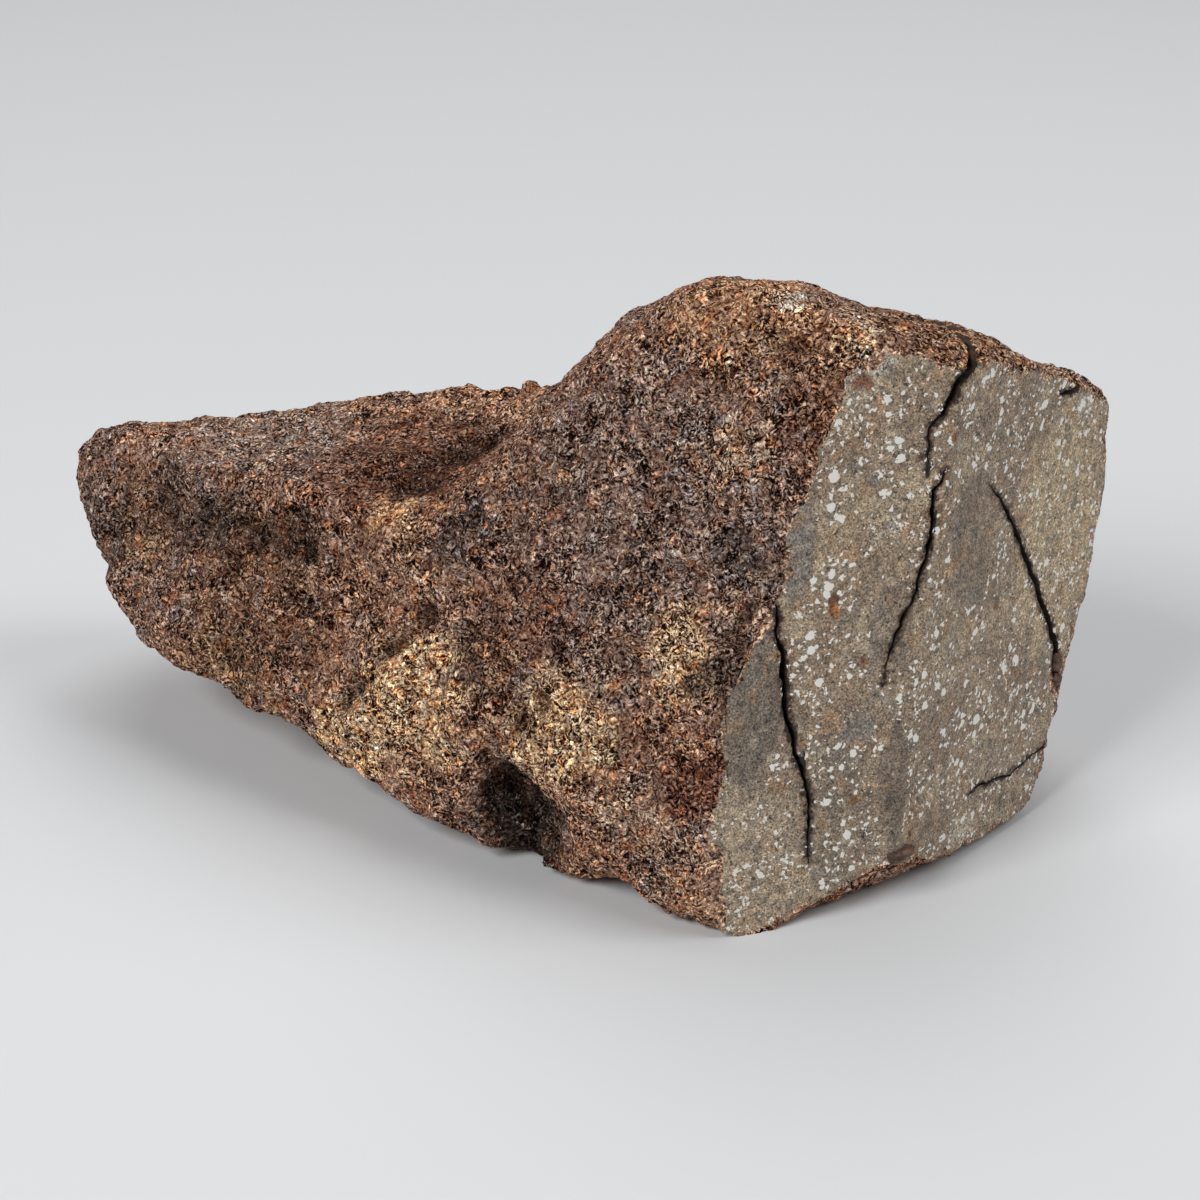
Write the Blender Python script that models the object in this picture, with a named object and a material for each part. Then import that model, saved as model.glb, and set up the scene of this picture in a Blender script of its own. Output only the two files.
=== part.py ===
"""Meteorite end cut: the sawn end piece of a stony meteorite, one solid stone.

A high block with two sawn facets stands at the +X end, and a low lobe with a ledge
and a trough runs out to the -X end. The crust is lumpy and pitted, and cracks open
the sawn facets. Units are metres, +Z is up, the long side runs along X, and the
origin is at the bottom centre of the stone. Points below are in millimetres.
"""
import math

import bmesh
import bpy
import numpy as np
from mathutils import Vector, noise

MM = 0.001
NODE = "meteorite"

# Driving sizes of the whole stone, in millimetres
LENGTH = 61.0
DEPTH = 34.3
HEIGHT = 33.4

# The two saw planes, each by three points; they share the ridge line
TOE = (9.5, -17.2, 0.0)
RIDGE_FOOT = (18.3, -14.0, 2.6)
SHOULDER = (15.1, -11.3, 30.5)
HEEL = (27.1, -4.5, 0.3)
RIDGE_TOP = (20.5, -9.5, 30.5)

# Outline of the sawn facets as (across, up): across runs level along a facet
# from the ridge line, minus on the front facet and plus on the side facet
FRONT_RIM = [
    (-9.0, -0.4), (-10.4, 3.8), (-10.8, 5.1), (-10.3, 9.7), (-10.2, 12.8), (-9.5, 16.8),
    (-8.7, 20.2), (-8.0, 24.2), (-6.9, 26.2), (-6.6, 28.6), (-5.6, 30.3), (-4.4, 31.1),
    (-1.9, 30.6), (-4.6, 1.4), (-1.4, 2.2),
]
SIDE_RIM = [
    (0.3, 30.8), (3.7, 29.6), (6.0, 28.7), (8.1, 27.6), (12.3, 26.5), (14.2, 25.6), (15.4, 24.2),
    (16.3, 22.5), (16.9, 20.2), (16.9, 18.1), (16.2, 13.4), (15.4, 10.6), (15.3, 6.0),
    (14.5, 2.6), (13.9, 0.3), (8.3, 0.6), (5.0, 1.3), (1.5, 2.5),
]

# Corners of the three rough lumps that grew together
CREST = [
    (6.4, -6.1, 33.2), (7.9, -6.4, 34.0), (10.1, -5.7, 33.8), (12.1, -6.0, 32.8), (14.9, -5.2, 31.8),
    (17.6, -4.3, 31.1), (20.4, -4.0, 30.2), (23.3, -3.1, 28.8), (27.0, -1.3, 27.3),
]
BROW = [(3.9, -4.8, 31.0), (1.8, -4.4, 28.8), (-0.5, -3.2, 26.6), (-5.1, -4.6, 21.1), (-7.3, -4.6, 17.3)]
FRONT_WALL = [
    (2.2, -11.4, 14.9), (0.2, -12.2, 9.1), (5.6, -15.6, 7.6), (-7.2, -7.0, 12.3), (-4.3, -9.6, 10.0),
]
FOOT = [(2.5, -14.5, 1.6), (5.3, -16.1, 0.7), (0.8, -13.6, 3.0)]
HIGH_BACK = [
    (6.2, 7.2, 28.0), (16.1, 9.4, 26.2), (24.1, 8.4, 23.0), (28.1, 6.4, 13.0), (26.1, 7.2, 4.0),
    (16.1, 11.4, 2.0), (4.2, 12.4, 3.0), (-0.9, 8.2, 20.0), (-3.9, 10.2, 8.0),
]
BULGE = [
    (-12.1, -6.6, 6.8), (-13.4, -4.9, 3.6), (-15.2, -2.6, 3.4), (-7.2, -7.0, 12.3), (-4.3, -11.2, 1.2),
    (-0.5, -12.4, -0.2), (2.0, -12.7, 0.4), (-4.3, -9.6, 10.0), (-7.3, -4.6, 17.3),
    (0.2, -12.2, 9.1), (2.2, -11.4, 14.9), (-10.2, -4.6, 13.5),
]
MIDDLE_BACK = [(-11.8, 10.2, 4.0), (-3.9, 13.2, 3.0), (4.2, 12.4, 4.0), (-7.8, 12.2, 14.0), (2.1, 10.2, 20.0)]
SOLE = [(-13.8, 6.2, 6.0), (-5.2, 1.6, -0.4), (-1.8, 7.0, -0.4), (7.4, 6.2, -0.4), (8.2, -3.0, -0.4)]
LOBE_TIP = [
    (-30.7, 10.2, 15.2), (-30.3, 11.2, 17.0), (-28.9, 10.4, 16.9), (-30.4, 9.0, 13.1), (-28.9, 6.5, 9.9),
    (-27.5, 4.7, 7.5),
]
LOBE_KEEL = [
    (-25.4, 2.7, 5.9), (-22.6, 0.2, 5.3), (-19.0, -2.3, 5.0), (-16.5, -3.6, 4.7), (-14.6, -3.4, 3.9),
    (-23.9, 8.2, 5.0), (-13.8, 4.2, 4.0), (-9.8, 2.2, 3.0), (-12.1, -6.4, 6.7),
]
LEDGE = [
    (-27.3, 9.7, 15.9), (-19.6, 3.7, 17.5), (-15.1, 0.2, 18.1), (-10.2, -3.3, 18.1), (-7.2, -7.0, 12.3),
    (-7.3, -4.6, 17.3),
]
LOBE_REAR_RIM = [
    (-27.9, 13.2, 15.2), (-22.8, 12.2, 15.7), (-16.5, 12.2, 17.1), (-10.3, 11.7, 19.1), (-6.0, 10.2, 20.3),
    (-1.1, 8.2, 21.9),
]
LOBE_BACK = [(-27.9, 16.2, 8.0), (-21.9, 17.2, 6.0), (-11.8, 16.2, 8.0), (-1.9, 14.2, 10.0)]

# The lumps reach past the saw planes by this much, drawn in by this much
STUB_LENGTH = 2.0
STUB_DRAW_IN = 3.0

# Hollows (minus) and swellings (plus): centre, reach in each axis, height along the surface
FORMS = [
    ((-14.5, 6.0, 18.5), (7.5, 3.4, 3.0), -1.5),
    ((-5.5, 3.5, 21.5), (4.0, 3.6, 3.0), -0.9),
    ((-23.5, 11.5, 17.0), (4.5, 3.0, 2.5), -0.4),
    ((-17.6, 1.6, 16.4), (1.6, 1.6, 1.1), -0.7),
    ((-1.9, -13.0, 4.3), (2.0, 2.6, 1.9), -3.4),
    ((-4.6, -9.9, 8.9), (3.0, 2.6, 1.7), 0.9),
    ((1.6, -12.8, 8.6), (2.6, 2.2, 2.2), 0.6),
    ((-9.4, -6.6, 9.4), (1.9, 2.0, 2.4), 0.8),
    ((-14.0, -4.2, 11.0), (2.4, 2.4, 2.8), -0.8),
    ((-24.6, 4.4, 11.4), (2.0, 2.2, 1.8), -0.6),
    ((5.2, -10.6, 20.0), (3.4, 3.0, 4.2), -0.4),
    ((12.4, -8.0, 31.6), (1.4, 1.6, 1.0), -0.35),
    ((13.5, 10.0, 16.0), (4.4, 3.0, 4.6), -1.5),
    ((0.5, 12.0, 12.0), (3.6, 3.0, 3.8), -1.3),
    ((24.5, 7.6, 17.5), (3.0, 2.6, 3.2), -0.9),
    ((-9.5, 14.6, 13.5), (3.8, 2.8, 2.6), 0.9),
    ((-20.5, 16.4, 10.5), (3.2, 2.6, 2.4), -1.1),
    ((9.5, 7.8, 27.0), (3.2, 2.8, 2.4), 0.7),
    ((22.0, 9.4, 7.5), (3.6, 2.6, 3.0), 0.8),
]

# Rough relief of the crust: wavelength, height, and where the pattern starts
RELIEF = [(7.5, 0.55, 11.0), (3.6, 0.42, 47.0), (2.4, 0.34, 83.0)]

# Rounding the hull edges takes this much off, which is given back along the normals
WEAR_MAKE_UP = 0.08

# Mesh size of the lumps before the saw cuts, and of the cells on the sawn facets
CRUST_CELL = 1.2
FACET_CELL = 3.0

# Smoothing as (strength, times): of the joined lumps, and of the skin with its relief
WORN_EDGES = (0.5, 2)
EVEN_SKIN = (0.4, 1)

# Cracks: stations of (across, up, width) on the facets, and the depth at mid-length
CRACKS = [
    ([(1.4, 31.3, 0.60), (1.2, 30.9, 0.56), (0.8, 30.2, 0.52), (-0.2, 29.5, 0.42), (-0.6, 28.6, 0.36),
      (-0.8, 27.9, 0.28), (-1.5, 27.4, 0.17), (-1.4, 26.4, 0.17), (-1.2, 25.0, 0.07)], 5.0),
    ([(-0.15, 25.1, 0.07), (-0.2, 24.5, 0.16), (-0.7, 23.8, 0.22), (-0.5, 22.5, 0.25), (-0.5, 21.4, 0.25),
      (-0.6, 20.5, 0.24), (-0.9, 18.6, 0.24), (-1.3, 17.3, 0.22), (-1.6, 16.2, 0.17), (-1.9, 15.2, 0.13),
      (-2.0, 13.4, 0.07)], 5.0),
    ([(4.2, 22.9, 0.08), (5.2, 22.0, 0.18), (6.3, 20.8, 0.20), (7.6, 19.3, 0.25), (9.3, 17.0, 0.33),
      (11.3, 14.3, 0.36), (12.9, 12.1, 0.40), (13.9, 10.6, 0.50), (14.3, 9.0, 0.62), (15.0, 7.6, 0.40)], 5.5),
    ([(-8.9, 18.9, 0.10), (-8.5, 17.8, 0.26), (-8.5, 16.9, 0.20), (-8.0, 16.0, 0.38), (-7.9, 15.0, 0.42),
      (-7.5, 13.2, 0.32), (-7.2, 12.0, 0.26), (-6.8, 11.4, 0.36), (-6.5, 10.2, 0.22), (-5.8, 8.6, 0.24),
      (-5.3, 7.2, 0.22), (-5.3, 5.6, 0.15), (-4.9, 3.7, 0.07)], 5.0),
    ([(6.9, 4.0, 0.07), (7.6, 4.3, 0.13), (9.2, 4.1, 0.15), (11.2, 3.7, 0.12), (12.4, 3.9, 0.12),
      (14.4, 4.2, 0.18), (16.2, 4.5, 0.22)], 2.5),
    ([(9.7, 26.3, 0.10), (10.6, 26.1, 0.30), (11.6, 26.2, 0.36), (12.4, 26.6, 0.30), (13.4, 27.6, 0.40)], 2.0),
]
# A crack's wedge starts this far outside the facet, and ends inside at this depth
CRACK_OUTSIDE = 1.2
CRACK_END_DEPTH = 0.35
# It reaches its full depth after this share of its length; an end wider than this opens at the rim,
# as a notch of this depth
CRACK_TAPER = 0.25
OPEN_END_WIDTH = 0.2
NOTCH_DEPTH = 1.1

# Places in the list of finishes
CRUST = 0
SAWN = 1

# Tolerances in millimetres: of the flat cuts, of the lines scored on the facets, of points
# that are one, and of the thinnest sliver; and the cosine between directions that are one
CUT_SLACK = 0.01
SCORE_SLACK = 0.02
SAME_POINT = 0.004
THIN_SLIVER = 0.002
SAME_DIRECTION = 0.9999

CRUST_COLOR = (0.115, 0.062, 0.038, 1.0)
SAWN_COLOR = (0.165, 0.140, 0.108, 1.0)


def plane_through(a, b, c):
    """A point on the plane and its unit normal, turned towards -Y, out of the stone."""
    a, b, c = Vector(a), Vector(b), Vector(c)
    normal = (b - a).cross(c - a).normalized()
    if normal.y > 0:
        normal.negate()
    return a, normal


FRONT_FACET = plane_through(TOE, RIDGE_FOOT, SHOULDER)
SIDE_FACET = plane_through(RIDGE_FOOT, HEEL, RIDGE_TOP)


def on_facet(across, up):
    """The point at (across, up) on the front or the side facet, and the facet's normal."""
    normal = (FRONT_FACET if across < 0 else SIDE_FACET)[1]
    ridge = FRONT_FACET[1].cross(SIDE_FACET[1])
    foot = Vector(RIDGE_FOOT)
    level = Vector((0, 0, 1)).cross(normal).normalized()
    return foot + ridge * ((up - foot.z) / ridge.z) + level * across, normal


def sawn_rim():
    """The rim of both facets, and a smaller copy of it beyond the saw planes."""
    rim = [on_facet(*station) for station in FRONT_RIM + SIDE_RIM]
    middle = sum((point for point, _ in rim), Vector()) / len(rim)
    points = [point for point, _ in rim]
    for point, normal in rim:
        inward = middle - point
        inward -= normal * inward.dot(normal)
        points.append(point + normal * STUB_LENGTH + inward.normalized() * STUB_DRAW_IN)
    return points


def rough_lump(name, corners):
    """A closed lump: the convex hull of its corner points."""
    bm = bmesh.new()
    for corner in corners:
        bm.verts.new(Vector(corner) * MM)
    bmesh.ops.convex_hull(bm, input=bm.verts)
    inside = [vertex for vertex in bm.verts if not vertex.link_faces]
    bmesh.ops.delete(bm, geom=inside, context="VERTS")
    bmesh.ops.recalc_face_normals(bm, faces=bm.faces)
    mesh = bpy.data.meshes.new(name)
    bm.to_mesh(mesh)
    bm.free()
    lump = bpy.data.objects.new(name, mesh)
    bpy.context.collection.objects.link(lump)
    return lump


def bake_modifiers(obj):
    """Replace the object's mesh by its evaluated mesh and drop the modifiers."""
    depsgraph = bpy.context.evaluated_depsgraph_get()
    mesh = bpy.data.meshes.new_from_object(obj.evaluated_get(depsgraph))
    obj.modifiers.clear()
    obj.data = mesh


def combine(obj, others, operation):
    """Add or cut the other objects in turn, then remove them."""
    for other in others:
        modifier = obj.modifiers.new(operation.title(), "BOOLEAN")
        modifier.operation = operation
        modifier.solver = "EXACT"
        modifier.object = other
    bake_modifiers(obj)
    for other in others:
        bpy.data.objects.remove(other)


def grow_together(obj):
    """One even skin over the joined lumps, its hull edges worn round."""
    remesh = obj.modifiers.new("Skin", "REMESH")
    remesh.mode = "VOXEL"
    remesh.voxel_size = CRUST_CELL * MM
    worn = obj.modifiers.new("Worn edges", "SMOOTH")
    worn.factor, worn.iterations = WORN_EDGES
    bake_modifiers(obj)


def shape_surface(obj):
    """Move each point of the skin along its normal by the forms and the rough relief."""
    mesh = obj.data
    normals = [vertex.normal.copy() for vertex in mesh.vertices]
    for vertex, normal in zip(mesh.vertices, normals):
        point = vertex.co / MM
        height = 0.0
        for centre, reach, rise in FORMS:
            away = sum(((p - c) / r) ** 2 for p, c, r in zip(point, centre, reach))
            height += rise * math.exp(-away)
        for wavelength, rise, start in RELIEF:
            place = point / wavelength + Vector((start, start, start))
            height += rise * noise.noise(place, noise_basis="PERLIN_ORIGINAL")
        vertex.co += normal * (height + WEAR_MAKE_UP) * MM
    even = obj.modifiers.new("Even skin", "SMOOTH")
    even.factor, even.iterations = EVEN_SKIN
    bake_modifiers(obj)


def cut_flat(bm, point, normal, material):
    """Cut everything beyond a plane away and close the cut with one flat face."""
    geom = bm.verts[:] + bm.edges[:] + bm.faces[:]
    result = bmesh.ops.bisect_plane(
        bm, geom=geom, dist=CUT_SLACK * MM, plane_co=Vector(point) * MM, plane_no=normal, clear_outer=True)
    rim = [item for item in result["geom_cut"] if isinstance(item, bmesh.types.BMEdge)]
    for face in bmesh.ops.contextual_create(bm, geom=rim)["faces"]:
        face.material_index = material
        face.normal_update()
        if face.normal.dot(normal) < 0:
            face.normal_flip()


def score_facet(bm, normal):
    """Divide a sawn facet into cells, so that the finished surface can follow it."""
    level = Vector((0, 0, 1)).cross(normal).normalized()
    for direction in (level, normal.cross(level)):
        faces = sawn_faces(bm, normal)
        spread = [vertex.co.dot(direction) for face in faces for vertex in face.verts]
        for index in range(1, math.ceil((max(spread) - min(spread)) / (FACET_CELL * MM))):
            faces = sawn_faces(bm, normal)
            geom = list({item for face in faces for item in (*face.verts, *face.edges)}) + faces
            line = direction * (min(spread) + index * FACET_CELL * MM)
            bmesh.ops.bisect_plane(bm, geom=geom, dist=SCORE_SLACK * MM, plane_co=line, plane_no=direction)


def sawn_faces(bm, normal):
    """The faces that lie on the facet with this normal."""
    bm.normal_update()
    return [
        face for face in bm.faces if face.material_index == SAWN and face.normal.dot(normal) > SAME_DIRECTION]


def saw(obj):
    """Saw off the end along both facets and flatten the sole that it rests on."""
    bm = bmesh.new()
    bm.from_mesh(obj.data)
    for point, normal in (FRONT_FACET, SIDE_FACET):
        cut_flat(bm, point, normal, SAWN)
    cut_flat(bm, (0, 0, 0), Vector((0, 0, -1)), CRUST)
    for _, normal in (FRONT_FACET, SIDE_FACET):
        score_facet(bm, normal)
    bmesh.ops.triangulate(bm, faces=bm.faces)
    bm.to_mesh(obj.data)
    bm.free()


def crack_cutter(name, stations, depth):
    """A zigzag wedge: its mouth is open over the facet, its edge lies inside the stone."""
    places = [on_facet(across, up) for across, up, _ in stations]
    points = [point for point, _ in places]
    outward = sum((normal for _, normal in places), Vector()).normalized()
    bm = bmesh.new()
    rows = []
    last = len(points) - 1
    for index, point in enumerate(points):
        along = (points[min(index + 1, last)] - points[max(index - 1, 0)]).normalized()
        side = outward.cross(along).normalized()
        width = stations[index][2]
        reach = min(1.0, min(index, last - index) / last / CRACK_TAPER)
        bottom = CRACK_END_DEPTH + (depth - CRACK_END_DEPTH) * reach
        if index in (0, last) and width > OPEN_END_WIDTH:
            bottom = NOTCH_DEPTH
        half = width / 2 * (1 + CRACK_OUTSIDE / bottom)
        mouth = point + outward * CRACK_OUTSIDE
        row = [mouth + side * half, mouth - side * half, point - outward * bottom]
        rows.append([bm.verts.new(corner * MM) for corner in row])
    for row, following in zip(rows, rows[1:]):
        for corner in range(3):
            after = (corner + 1) % 3
            bm.faces.new((row[corner], row[after], following[after], following[corner]))
    bm.faces.new(rows[0][::-1])
    bm.faces.new(rows[-1])
    bmesh.ops.triangulate(bm, faces=bm.faces)
    bmesh.ops.recalc_face_normals(bm, faces=bm.faces)
    mesh = bpy.data.meshes.new(name)
    bm.to_mesh(mesh)
    bm.free()
    cutter = bpy.data.objects.new(name, mesh)
    cutter.hide_render = True
    cutter.display_type = "WIRE"
    bpy.context.collection.objects.link(cutter)
    return cutter


def tidy_mesh(obj):
    """Merge doubles, keep the one stone and drop any crumb that the cracks cut loose."""
    bm = bmesh.new()
    bm.from_mesh(obj.data)
    bmesh.ops.remove_doubles(bm, verts=bm.verts, dist=SAME_POINT * MM)
    bmesh.ops.dissolve_degenerate(bm, dist=THIN_SLIVER * MM, edges=bm.edges)
    left = set(bm.verts)
    islands = []
    while left:
        stack = [left.pop()]
        island = set(stack)
        while stack:
            for edge in stack.pop().link_edges:
                for vertex in edge.verts:
                    if vertex in left:
                        left.discard(vertex)
                        island.add(vertex)
                        stack.append(vertex)
        islands.append(island)
    stone = max(islands, key=len)
    crumbs = [vertex for island in islands if island is not stone for vertex in island]
    bmesh.ops.delete(bm, geom=crumbs, context="VERTS")
    bmesh.ops.triangulate(bm, faces=bm.faces)
    bm.to_mesh(obj.data)
    bm.free()


def fit_to_size(obj):
    """Bring the stone to its length, depth and height, with the origin at its bottom centre."""
    mesh = obj.data
    places = np.array([vertex.co for vertex in mesh.vertices])
    low, high = places.min(axis=0), places.max(axis=0)
    size = np.array((LENGTH, DEPTH, HEIGHT)) * MM
    origin = np.array(((low[0] + high[0]) / 2, (low[1] + high[1]) / 2, low[2]))
    print("shift in mm", -origin / MM, "scale", size / (high - low))
    places = (places - origin) * (size / (high - low))
    for vertex, place in zip(mesh.vertices, places):
        vertex.co = place


def principled(name, color, roughness):
    """A plain material of one colour."""
    material = bpy.data.materials.new(name)
    material.use_nodes = True
    shader = material.node_tree.nodes["Principled BSDF"]
    shader.inputs["Base Color"].default_value = color
    shader.inputs["Roughness"].default_value = roughness
    material.diffuse_color = color
    return material


def build():
    """Make the stone."""
    for obj in list(bpy.data.objects):
        bpy.data.objects.remove(obj)
    high_block = sawn_rim() + CREST + BROW + FRONT_WALL + FOOT + HIGH_BACK
    stone = rough_lump(NODE, high_block)
    middle = rough_lump("middle lump", BULGE + MIDDLE_BACK + SOLE)
    lobe = rough_lump("low lobe", LOBE_TIP + LOBE_KEEL + LEDGE + LOBE_REAR_RIM + LOBE_BACK)
    combine(stone, [middle, lobe], "UNION")
    grow_together(stone)
    shape_surface(stone)
    stone.data.materials.clear()
    stone.data.materials.append(principled("crust", CRUST_COLOR, 0.9))
    stone.data.materials.append(principled("sawn stone", SAWN_COLOR, 0.55))
    saw(stone)
    cutters = [crack_cutter("crack %d" % index, *crack) for index, crack in enumerate(CRACKS)]
    combine(stone, cutters, "DIFFERENCE")
    tidy_mesh(stone)
    fit_to_size(stone)
    print("triangles", len(stone.data.polygons))


build()
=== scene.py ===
# %% [markdown]
# # A meteorite end cut
#
# This notebook dresses a stony meteorite: the end piece that stays behind when slices are sawn
# from one side. Most of its skin is a rough, rusty crust. At one end two saw cuts show the inside:
# grey-brown rock full of bright metal flecks, opened by thin dark cracks. The solid stone, at its
# real size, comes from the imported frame. Here it gets its fine relief, its grains and its finish.

import math

import bmesh
import bpy
import numpy as np
from mathutils import Matrix, Vector, kdtree, noise


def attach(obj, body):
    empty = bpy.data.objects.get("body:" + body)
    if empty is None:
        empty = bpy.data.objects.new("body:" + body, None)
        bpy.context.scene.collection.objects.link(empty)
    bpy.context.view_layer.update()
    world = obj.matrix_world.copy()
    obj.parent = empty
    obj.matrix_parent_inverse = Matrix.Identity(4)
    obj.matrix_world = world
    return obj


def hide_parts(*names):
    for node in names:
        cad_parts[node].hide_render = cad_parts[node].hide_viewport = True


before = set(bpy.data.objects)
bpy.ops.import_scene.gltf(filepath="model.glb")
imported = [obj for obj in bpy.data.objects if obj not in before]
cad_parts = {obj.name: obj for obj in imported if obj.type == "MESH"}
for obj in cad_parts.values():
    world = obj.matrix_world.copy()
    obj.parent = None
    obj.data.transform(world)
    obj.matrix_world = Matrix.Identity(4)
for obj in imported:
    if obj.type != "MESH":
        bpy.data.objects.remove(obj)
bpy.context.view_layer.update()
MM = 0.001
cad_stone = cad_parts["meteorite"]

# %% [markdown]
# ## The camera
#
# A lens draws a small stone much as it draws a building: where the camera stands decides the
# shape, and the focal length decides how much of it fills the picture. The camera here stands about
# 14 cm from the stone and looks 27 degrees down, rolled a little over one degree. It comes first, so
# that every later step can be judged in the same view.

# %% Camera
CAMERA_PLACE = Vector((1.884, -126.512, 76.617)) * MM
CAMERA_DOWN = math.radians(27.196)
CAMERA_ROLL = math.radians(1.413)
LENS_MM = 73.59
SENSOR_MM = 36.0


def placed(name, data):
    """A new object with this data, linked to the scene."""
    obj = bpy.data.objects.new(name, data)
    bpy.context.scene.collection.objects.link(obj)
    return obj


def add_camera():
    """The camera, level along +Y, then tipped down and rolled about its own axis."""
    data = bpy.data.cameras.new("camera")
    data.lens = LENS_MM
    data.sensor_width = SENSOR_MM
    data.clip_start = 0.005
    data.clip_end = 20.0
    camera = placed("camera", data)
    tip = Matrix.Rotation(math.pi / 2 - CAMERA_DOWN, 4, "X")
    roll = Matrix.Rotation(CAMERA_ROLL, 4, "Z")
    camera.matrix_world = Matrix.Translation(CAMERA_PLACE) @ tip @ roll
    bpy.context.scene.camera = camera
    return camera


camera = add_camera()
print("camera at", tuple(round(number, 4) for number in camera.matrix_world.translation))

# %% [markdown]
# ## Short names for nodes
#
# Materials and Geometry Nodes are both graphs. Written out in full, each node takes four or five
# lines, and the idea drowns. This small class keeps one line for one node: a number or colour is
# set on the socket, and another node's output is linked to it.

# %% Node graph helper


class Graph:
    """Adds nodes to a tree; an input is either a plain value or another node's output."""

    def __init__(self, tree):
        self.tree = tree

    def add(self, kind, inputs=None, **settings):
        node = self.tree.nodes.new(kind)
        for name, value in settings.items():
            setattr(node, name, value)
        for key, value in (inputs or {}).items():
            self.put(node.inputs[key], value)
        return node

    def put(self, socket, value):
        if isinstance(value, bpy.types.NodeSocket):
            self.tree.links.new(value, socket)
        else:
            socket.default_value = value

    def math(self, operation, first, second=0.0, clamp=False):
        node = self.add("ShaderNodeMath", {0: first, 1: second}, operation=operation, use_clamp=clamp)
        return node.outputs[0]

    def vector(self, operation, first, second=(0.0, 0.0, 0.0)):
        node = self.add("ShaderNodeVectorMath", {0: first, 1: second}, operation=operation)
        return node.outputs["Value" if operation in ("DOT_PRODUCT", "LENGTH", "DISTANCE") else "Vector"]

    def scaled(self, vector, factor):
        node = self.add("ShaderNodeVectorMath", {0: vector, "Scale": factor}, operation="SCALE")
        return node.outputs["Vector"]

    def remap(self, value, low, high, new_low=0.0, new_high=1.0, smooth=True):
        node = self.add("ShaderNodeMapRange", {0: value, 1: low, 2: high, 3: new_low, 4: new_high})
        node.interpolation_type = "SMOOTHSTEP" if smooth else "LINEAR"
        node.clamp = True
        return node.outputs[0]

    def mix(self, factor, first, second):
        """A colour between two others."""
        return self.add("ShaderNodeMix", {0: factor, 6: first, 7: second}, data_type="RGBA").outputs[2]

    def noise(self, vector, wavelength, detail=2.0, roughness=0.5, output="Fac"):
        return self.add("ShaderNodeTexNoise", {"Vector": vector, "Scale": 1.0 / wavelength, "Detail": detail,
                                               "Roughness": roughness}).outputs[output]

    def shake(self, vector, wavelength, detail, roughness):
        """A vector noise around zero, at most half a unit long each way."""
        shade = self.noise(vector, wavelength, detail, roughness, "Color")
        return self.vector("SUBTRACT", shade, (0.5, 0.5, 0.5))

    def parts(self, colour):
        """Red, green and blue of a colour, often used as three random numbers."""
        return self.add("ShaderNodeSeparateColor", {0: colour}).outputs

    def point_value(self, name):
        """A value that the mesh stores on its points, read by a material."""
        return self.add("ShaderNodeAttribute", attribute_name=name).outputs["Fac"]

    def ramp(self, value, stops):
        node = self.add("ShaderNodeValToRGB", {0: value})
        elements = node.color_ramp.elements
        while len(elements) < len(stops):
            elements.new(0.5)
        for element, (place, colour) in zip(elements, stops):
            element.position = place
            element.color = (*colour, 1.0)
        return node.outputs[0]

    def weighted(self, *terms):
        """The sum of (value, weight) pairs."""
        total = 0.0
        for value, weight in terms:
            total = self.math("ADD", total, self.math("MULTIPLY", value, weight))
        return total

    def cells(self, vector, wavelength):
        """Voronoi cells: the distance to the middle of the nearest one, and its own random colour."""
        node = self.add("ShaderNodeTexVoronoi", {"Vector": vector, "Scale": 1.0 / wavelength}, feature="F1")
        return node.outputs["Distance"], node.outputs["Color"]


print("node helper ready")

# %% [markdown]
# ## Which skin is which
#
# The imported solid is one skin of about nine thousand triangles, but three kinds of surface meet on
# it: broken crust, sawn facet and the inside of a crack. A facet is easy to find, because all its
# triangles share one direction and lie in one plane. A crack is found by its own line: a triangle
# that lies within the crack's narrow wedge is a crack wall. All the rest is crust. Each triangle
# keeps its kind as an attribute, which survives every later subdivision.

# %% Saw planes
FRONT_NORMAL = Vector((0.306, -0.944, 0.126))
SIDE_NORMAL = Vector((0.738, -0.673, 0.048))
SAME_POINT = 0.001 * MM
# A face belongs to a facet when the cosine between their normals is above this, first roughly
ROUGHLY_FACING = 0.999
FACING = 0.9995
# and when its centre lies this near the facet's plane, in mm
IN_PLANE = 0.03


def merged_copy(source, name):
    """The frame's triangles as one closed mesh, in a new mesh of our own."""
    bm = bmesh.new()
    bm.from_mesh(source.data)
    bmesh.ops.remove_doubles(bm, verts=bm.verts, dist=SAME_POINT)
    mesh = bpy.data.meshes.new(name)
    bm.to_mesh(mesh)
    bm.free()
    return mesh


def face_arrays(mesh):
    """Normal, centre and area of each face, centres in millimetres."""
    normals = np.array([face.normal for face in mesh.polygons])
    centres = np.array([face.center for face in mesh.polygons]) / MM
    areas = np.array([face.area for face in mesh.polygons])
    return normals, centres, areas


def facet_plane(mesh, about):
    """(unit normal, distance in mm, mask of faces) of the flat facet that faces about this way."""
    normals, centres, areas = face_arrays(mesh)
    near = normals @ np.array(about.normalized()) > ROUGHLY_FACING
    for _ in range(2):
        normal = (normals[near] * areas[near, None]).sum(axis=0)
        normal /= np.linalg.norm(normal)
        distance = np.average(centres[near] @ normal, weights=areas[near])
        near = (normals @ normal > FACING) & (abs(centres @ normal - distance) < IN_PLANE)
    return normal, float(distance), near


stone_mesh = merged_copy(cad_stone, "stone skin")
front_normal, front_distance, on_front = facet_plane(stone_mesh, FRONT_NORMAL)
side_normal, side_distance, on_side = facet_plane(stone_mesh, SIDE_NORMAL)
print("front facet", front_normal.round(3), "faces", int(on_front.sum()))
print("side facet", side_normal.round(3), "faces", int(on_side.sum()))

# %% [markdown]
# The two facets meet in a ridge line. A point on a facet is given by how far it lies from that
# ridge, measured level along the facet (minus on the front facet, plus on the side one), and by its
# height above the table. The cracks are lists of such points with the crack's width at each.

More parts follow.
